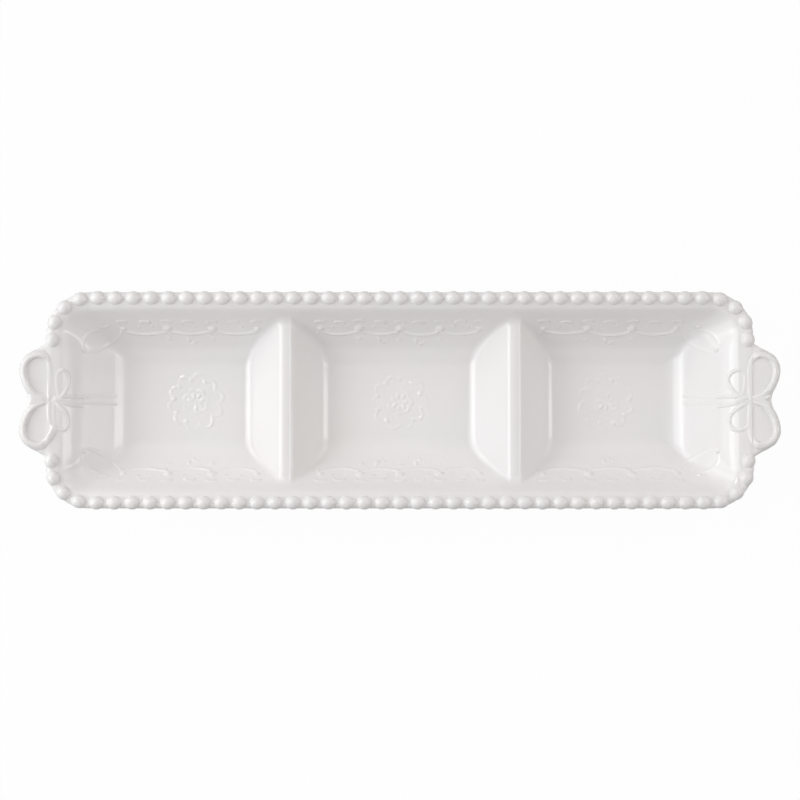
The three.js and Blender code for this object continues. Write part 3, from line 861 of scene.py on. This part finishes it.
medallionLook = {
    "lobes": {"count": 10, "radius": 13.4, "in": 0.6, "bulge": 2.0, "turn": 0.24, "points": 9, "half": 1.45,
              "high": 0.24, "ends": 0.55, "more": 1.15},
    "dots": {"radius": 12.2, "half": 1.9, "high": 0.46},
    "scallops": {"count": 7, "radius": 6.0, "in": 0.5, "bulge": 1.2, "turn": 0.36, "points": 7, "half": 1.5,
                 "high": 0.24, "ends": 0.6, "more": 1.0},
    "petals": {"from": 2.6, "to": 3.9, "half": [1.2, 1.6], "high": 0.34},
    "wells": {"left": (-110.6, 0.2), "middle": (-0.3, 0.05), "right": (111.6, 0.35)},
    "reach": 17.5, "step": 0.28, "seed": 23,
}
medallionJitter = {"lobeTurn": 0.02, "lobeRadius": 0.25, "lobe": 0.09, "dot": 0.14, "scallopTurn": 0.05,
                   "scallop": 0.1, "petal": 0.12}


def onCircle(radius, angle):
    return np.stack([radius * np.cos(angle), radius * np.sin(angle)], -1)


def lobeStroke(look, angle, radius, high):  # a short arc that bulges outwards and thins towards its ends
    t = np.linspace(-1, 1, look["points"])
    full = 1 - t ** 2
    path = onCircle(radius + look["bulge"] * full - look["in"], angle + t * look["turn"])
    return path, look["half"], high * blend(look["ends"], 1, full) * look["more"]


def medallionStrokes(turn, hand):
    look, uneven = medallionLook, medallionJitter
    lobes, dots, scallops, petals = [look[name] for name in ("lobes", "dots", "scallops", "petals")]
    strokes = []
    for k in range(lobes["count"]):
        angle = turn + 2 * math.pi * k / lobes["count"] + jitter(hand, uneven["lobeTurn"])
        radius = lobes["radius"] + jitter(hand, uneven["lobeRadius"])
        strokes.append(lobeStroke(lobes, angle, radius, lobes["high"] + jitter(hand, uneven["lobe"])))
        dot = onCircle(dots["radius"], angle + math.pi / lobes["count"])
        strokes.append(([dot], dots["half"], dots["high"] + jitter(hand, uneven["dot"])))
    for k in range(scallops["count"]):
        angle = turn + 2 * math.pi * k / scallops["count"] + jitter(hand, uneven["scallopTurn"])
        high = scallops["high"] + jitter(hand, uneven["scallop"])
        strokes.append(lobeStroke(scallops, angle, scallops["radius"], high))
        petal = [onCircle(petals[mark], angle) for mark in ("from", "to")]
        strokes.append((petal, petals["half"], petals["high"] + jitter(hand, uneven["petal"])))
    return strokes


def makeMedallions():
    look = medallionLook
    hand = np.random.default_rng(look["seed"])
    steps = stepsAcross(look["reach"], look["step"])
    for well, (x, turn) in look["wells"].items():
        strokes = moveStrokes(medallionStrokes(turn, hand), (1, 1), (x, 0))
        reliefPiece(f"{well} medallion", steps + x, steps, strokes)


makeMedallions()
print("medallions done")


# bows: X out of the dish from the edge of the rim, Y towards the loop, Z from the top of the rim

tabLook = {
    "outline": [(-1.0, 31.2), (1.5, 29.1), (4.4, 27.3), (8.8, 24.9), (12.5, 21.3), (13.9, 16.8),
                (14.0, 14.1), (13.4, 10.8), (12.1, 7.5), (10.8, 5.0), (9.8, 2.4), (9.45, 0.0)],
    "curvePoints": 600, "points": 190, "across": 26, "rootX": -4.6, "rootY": 24.0, "edge": 2.2, "seat": 0.03,
    "drop": 0.6, "dropFrom": -2.4, "dropTo": 0.6, "lift": {"left": 0.17, "right": 0.13}, "crease": 50,
}


def pathDistance(x, y, path):  # shortest way to a line of points
    best = np.full(np.shape(x), np.inf)
    for (ax, ay), (bx, by) in zip(path[:-1], path[1:]):
        stepX, stepY = bx - ax, by - ay
        t = np.clip(((x - ax) * stepX + (y - ay) * stepY) / (stepX ** 2 + stepY ** 2), 0, 1)
        best = np.minimum(best, np.hypot(x - ax - t * stepX, y - ay - t * stepY))
    return best


def edgeDrop(away):  # quarter round at the tab's edge
    edge = tabLook["edge"]
    return edge - np.sqrt(np.clip(edge ** 2 - np.clip(edge - away, 0, edge) ** 2, 0, None))


def tabDip(x):  # step down where the tab leaves the rim
    return tabLook["drop"] * smoothstep(tabLook["dropFrom"], tabLook["dropTo"], x)


def tabTop(x, end):  # upper face: follows the leaning lip, dips past the rim and lifts towards its edge
    q = np.minimum(-x, dish["lipWidth"]) - dish["lipWidth"]
    lip = np.minimum(insideHeight(q, 0.0, end == "right") - profileLook["rimTop"], 0)
    return lip - tabDip(x) + tabLook["lift"][end] * np.maximum(x, 0) - tabLook["seat"]


def tabOutline():
    half = tabLook["outline"]
    whole = half + [(x, -y) for x, y in half[-2::-1]]
    return evenly(splineLoop(whole, tabLook["curvePoints"], False), tabLook["points"], False)


def bowPoints(local, side, flip):  # from the bow's own frame to the dish
    x = side * (dish["rimX"] + local[..., 0])
    return np.stack([x, flip * local[..., 1], profileLook["rimTop"] + local[..., 2]], -1)


def makeTab(end, side):
    look = tabLook
    outline = tabOutline()
    share = np.sin(np.linspace(0, math.pi / 2, look["across"]))
    rootY = np.clip(outline[:, 1], -look["rootY"], look["rootY"])
    root = np.stack([np.full(len(outline), look["rootX"]), rootY], -1)
    flat = root[:, None] + (outline - root)[:, None] * share[None, :, None]
    x, y = flat[..., 0], flat[..., 1]
    away = pathDistance(x, y, outline)
    away[:, -1] = 0
    top = tabTop(x, end) - edgeDrop(away)
    low = np.minimum(tabTop(x, end) - 2 * look["edge"] + edgeDrop(away), top)
    rows, cols = x.shape
    everyCell = np.ones((rows - 1, cols - 1), bool)
    points, faces = shell(np.stack([x, y, top], -1), np.stack([x, y, low], -1), everyCell)
    addPiece(f"{end} bow tab", bowPoints(points, side, 1), faces, crease=look["crease"])


outerCrest = [(-1.2, 1.5), (2.6, 1.9), (5.6, 3.5), (8.0, 6.2), (9.5, 9.0), (10.6, 12.0), (11.1, 15.0),
              (10.7, 18.0), (9.2, 20.8), (6.4, 22.7), (3.0, 23.2)]
loopLook = {
    "plain": outerCrest + [(0.2, 21.6), (-1.7, 18.0), (-2.1, 10.0)],
    "folded": outerCrest + [(0.2, 21.4), (-2.2, 18.0), (-3.6, 15.0), (-2.6, 12.0), (-1.7, 8.0)],
    "curvePoints": 400, "points": 160, "across": 27, "freeFrom": -1.8, "freeTo": 2.2,
    "foldShare": 0.7, "foldFrom": 12.5, "foldTo": 15.0, "rimHalf": 1.4, "rimHigh": 0.28,
    "outSide": 3.0, "inSide": 1.3, "ribbonHigh": 1.9, "outCurve": 0.9, "inCurve": 0.75,
    "lipTo": -1.0, "tabFrom": -2.5, "tabTo": -0.5, "waist": 3.4, "waistFull": 1.36,
    "waistLow": 0.5, "lowFrom": 5.5, "lowTo": 1.5, "leastY": 0.01, "thick": 1.0, "seat": 0.02, "crease": 60,
}


def outlineNormal(path):  # out of a loop that runs anticlockwise
    ahead = np.roll(path, -1, axis=0) - np.roll(path, 1, axis=0)
    ahead /= np.linalg.norm(ahead, axis=1, keepdims=True)
    return np.stack([ahead[:, 1], -ahead[:, 0]], -1)


def ringShell(top, under):  # closed skin over a band that runs round in a ring
    rows, cols = top.shape[:2]
    total = rows * cols
    upper = gridFaces(rows, cols, wrapRows=True).reshape(-1, 4)
    index = np.arange(total).reshape(rows, cols)
    sides = []
    for edge in (0, cols - 1):
        a, b = index[:, edge], np.roll(index[:, edge], -1)
        sides.append(np.stack([a, b, b + total, a + total], -1))
    points = np.vstack([top.reshape(-1, 3), under.reshape(-1, 3)])
    return points, np.vstack([upper, upper[:, ::-1] + total] + sides)


def makeLoop(end, wall, side, flip):
    look = loopLook
    folded = end == "left" and wall == "front"  # one loop was pressed down over the rim with a fold
    crest = evenly(splineLoop(look["folded" if folded else "plain"], look["curvePoints"]), look["points"])
    out = outlineNormal(crest)
    free = smoothstep(look["freeFrom"], look["freeTo"], crest[:, 0])[:, None]  # 0 on the lip, 1 on the tab
    if folded:
        fold = smoothstep(look["foldFrom"], look["foldTo"], crest[:, 1])[:, None]
        free = np.maximum(free, look["foldShare"] * fold)
    t = np.linspace(-1, 1, look["across"])  # below 0 lies outside the crest line
    outer = blend(look["rimHalf"], look["outSide"], free)
    inner = blend(look["rimHalf"], look["inSide"], free)
    flat = crest[:, None] - out[:, None] * np.where(t < 0, t * outer, t * inner)[..., None]
    x, y = flat[..., 0], np.maximum(flat[..., 1], look["leastY"])
    onTab = smoothstep(look["tabFrom"], look["tabTo"], x)
    low = look["waistLow"] * smoothstep(look["lowFrom"], look["lowTo"], y) * onTab
    high = blend(look["rimHigh"], look["ribbonHigh"], free) * (1 - low)
    bump = np.where(t < 0, (1 - t ** 2) ** look["outCurve"], (1 - t ** 2) ** look["inCurve"])
    waist = smoothstep(look["waist"], look["waistFull"], y) * onTab * (t < 0)
    base = tabTop(x, end) + tabLook["seat"] - edgeDrop(pathDistance(x, y, tabOutline()))
    base = base + tabDip(x) * (x < look["lipTo"])  # over the lip the ribbon doesn't dip
    top = np.stack([x, y, base + high * np.maximum(bump, waist) - look["seat"]], -1)
    points, faces = ringShell(top, np.stack([x, y, base - look["thick"]], -1))
    addPiece(f"{end} bow {wall} loop", bowPoints(points, side, flip), faces, crease=look["crease"])


# inner loops, knot and tails lie on the lip and the end wall
bowLook = {
    "back": {"faint": (-6.2, -8.2), "tail": (1.8, 2.9),
             "leaf": [(-8.2, 1.8), (-12.5, 1.95), (-17.4, 1.3)],
             "inner": [(-7.0, 1.6), (-6.2, 3.6), (-5.5, 7.4), (-5.4, 12.6), (-6.6, 15.0), (-8.4, 15.7),
                       (-10.3, 14.2), (-11.2, 11.2), (-10.4, 6.8), (-8.4, 2.6)]},
    "front": {"faint": (-4.6, -6.4), "tail": (-1.0, -1.4),
              "leaf": [(-8.2, -1.3), (-12.5, -2.5), (-17.0, -3.6)],
              "inner": [(-4.2, 0.6), (-6.2, 2.7), (-9.2, 5.6), (-10.7, 9.0), (-10.6, 13.2), (-8.8, 15.8),
                        (-5.2, 14.8), (-4.2, 12.4), (-3.9, 6.0)]},
    "innerMiddle": -8.3, "innerWide": {"left": 1.0, "right": 1.4}, "innerHalf": 1.35, "innerHigh": 0.7,
    "innerFaint": 0.3, "curvePoints": 200, "points": 80,
    "tailX": (-8.0, -32.0), "tailPoints": 40, "tailHalf": 1.2, "tailHigh": 0.24,
    "leafHalf": [0.8] + [1.35] * 12 + [0.8] * 7, "leafHigh": 0.6,
    "knot": [(-5.2, 0.3), (-7.6, 0.3)], "knotHalf": 2.3, "knotHigh": 0.6, "past": 2.4, "step": 0.25,
}


def bowRelief(name, side, strokes):
    look = bowLook
    strokes = moveStrokes(strokes, (side, 1), (side * dish["rimX"], 0))
    spots = np.vstack([path for path, _, _ in strokes])
    starts, stops = spots.min(0) - look["past"], spots.max(0) + look["past"]
    xs, ys = [np.arange(start, stop, look["step"]) for start, stop in zip(starts, stops)]
    reliefPiece(name, xs, ys, strokes)


def makeBow(end, side):
    look = bowLook
    makeTab(end, side)
    for wall, flip in walls.items():
        own = look[wall]
        makeLoop(end, wall, side, flip)
        loop = evenly(splineLoop(own["inner"], look["curvePoints"]), look["points"])
        loop = np.vstack([loop, loop[:1]]) * np.array([1, flip])
        loop[:, 0] = look["innerMiddle"] + (loop[:, 0] - look["innerMiddle"]) * look["innerWide"][end]
        clear = smoothstep(*own["faint"], loop[:, 0])  # the side towards the rim is faint
        high = look["innerHigh"] * blend(look["innerFaint"], 1, clear)
        bowRelief(f"{end} bow {wall} inner loop", side, [(loop, look["innerHalf"], high)])
        spans = (look["tailX"], own["tail"])
        line = np.stack([np.linspace(*span, look["tailPoints"]) for span in spans], -1)
        leaf = splineLoop(own["leaf"], len(look["leafHalf"]), False)
        tail = [(line, look["tailHalf"], look["tailHigh"]), (leaf, look["leafHalf"], look["leafHigh"])]
        bowRelief(f"{end} bow {wall} tail", side, tail)
    bowRelief(f"{end} bow knot", side, [(look["knot"], look["knotHalf"], look["knotHigh"])])


for end, side in ends.items():
    makeBow(end, side)
print("bows done")


# stage: white table, soft light from the left and the back, weaker from the right and the front

white = (1, 1, 1, 1)
tableLook = {"half": 4.0, "level": -0.0001, "bounce": (0.3, 0.3, 0.3, 1), "whiteShare": 0.97,
             "cloudScale": 3.0, "dark": (0.79, 0.79, 0.79, 1), "light": (0.81, 0.81, 0.81, 1)}


def shownRay(link):  # 1 for a ray that shows the background, straight, mirrored or through something clear
    camera, glossy, clear = [link.node("ShaderNodeLightPath", {}, {}, f"Is {kind} Ray")
                             for kind in ("Camera", "Glossy", "Transmission")]
    return link.math("MAXIMUM", camera, link.math("MAXIMUM", glossy, clear))


def makeTable():
    look = tableLook
    half, level = look["half"], look["level"]
    mesh = bpy.data.meshes.new("table")
    corners = [(-half, -half, level), (half, -half, level), (half, half, level), (-half, half, level)]
    mesh.from_pydata(corners, [], [(0, 1, 2, 3)])
    material, link, place = startMaterial("white table")
    shown = shownRay(link)
    shade = mixColor(link, noise(link, place, look["cloudScale"]), look["dark"], look["light"])
    matt = link.node("ShaderNodeBsdfDiffuse", {}, {"Color": mixColor(link, shown, look["bounce"], shade)})
    glow = link.node("ShaderNodeEmission", {}, {"Color": white, "Strength": 1.0})
    surface = link.node("ShaderNodeMixShader", {}, {0: shown * look["whiteShare"], 1: matt, 2: glow})
    link.node("ShaderNodeOutputMaterial", {}, {"Surface": surface})
    mesh.materials.append(material)
    addObject("table", mesh)


makeTable()
print("table done")


lampLook = {"aim": (0, 0, 0.03), "cool": (0.94, 0.985, 1.0), "warm": (1.0, 0.992, 0.978)}


def lampAt(name, turn, height, away, size, power, tone="warm"):  # turn from +X to +Y and height in degrees
    turn, height = math.radians(turn), math.radians(height)
    lamp = bpy.data.lights.new(name, "AREA")
    lamp.shape = "RECTANGLE"
    lamp.size, lamp.size_y = size
    lamp.energy = power
    lamp.color = lampLook[tone]
    holder = addObject(name, lamp)
    way = np.array([math.cos(height) * math.cos(turn), math.cos(height) * math.sin(turn), math.sin(height)])
    holder.location = np.array(lampLook["aim"]) + away * way
    holder.rotation_euler = (math.pi / 2 - height, 0, turn + math.pi / 2)


lampAt("left window", turn=180, height=41, away=1.6, size=(0.46, 1.1), power=4.9, tone="cool")
lampAt("left wide", turn=180, height=25, away=1.6, size=(2.4, 0.9), power=11.8, tone="cool")
lampAt("back left", turn=135, height=34, away=2.6, size=(2.0, 1.6), power=13.7)
lampAt("back left high", turn=135, height=58, away=2.6, size=(0.4, 0.4), power=4.7)
lampAt("back right", turn=45, height=35, away=2.6, size=(2.0, 1.6), power=8.9)
lampAt("right window", turn=0, height=28, away=2.6, size=(0.3, 1.8), power=6.3)
lampAt("right wide", turn=0, height=36, away=2.6, size=(2.8, 1.8), power=9.5)
lampAt("front", turn=270, height=35, away=2.6, size=(2.0, 1.6), power=5.0)
print("lamps done")


roomLook = {"tone": (1, 0.988, 0.97, 1), "strength": 0.25}


def makeRoom():  # weak light all round, white where it shows
    world = bpy.data.worlds.new("room")
    world.use_nodes = True
    world.node_tree.nodes.clear()
    link = Link(world.node_tree)
    shown = shownRay(link)
    color = mixColor(link, shown, roomLook["tone"], white)
    strength = shown * (1 - roomLook["strength"]) + roomLook["strength"]
    sky = link.node("ShaderNodeBackground", {}, {"Color": color, "Strength": strength})
    link.node("ShaderNodeOutputWorld", {}, {"Surface": sky})
    scene.world = world


makeRoom()
print("room done")


cameraLook = {"aim": (0, 0, 0.0375), "distance": 0.838, "elevation": 88.15, "lens": 72.0, "sensor": 36.0,
              "near": 0.05}


def makeCamera():
    look = cameraLook
    camera = bpy.data.cameras.new("camera")
    camera.lens = look["lens"]
    camera.sensor_width = look["sensor"]
    camera.clip_start = look["near"]
    viewer = addObject("camera", camera)
    tilt = math.radians(look["elevation"])
    x, y, z = look["aim"]
    viewer.location = (x, y - look["distance"] * math.cos(tilt), z + look["distance"] * math.sin(tilt))
    viewer.rotation_euler = (math.pi / 2 - tilt, 0, 0)
    scene.camera = viewer


makeCamera()
scene.view_settings.view_transform = "Standard"

print("scene done")
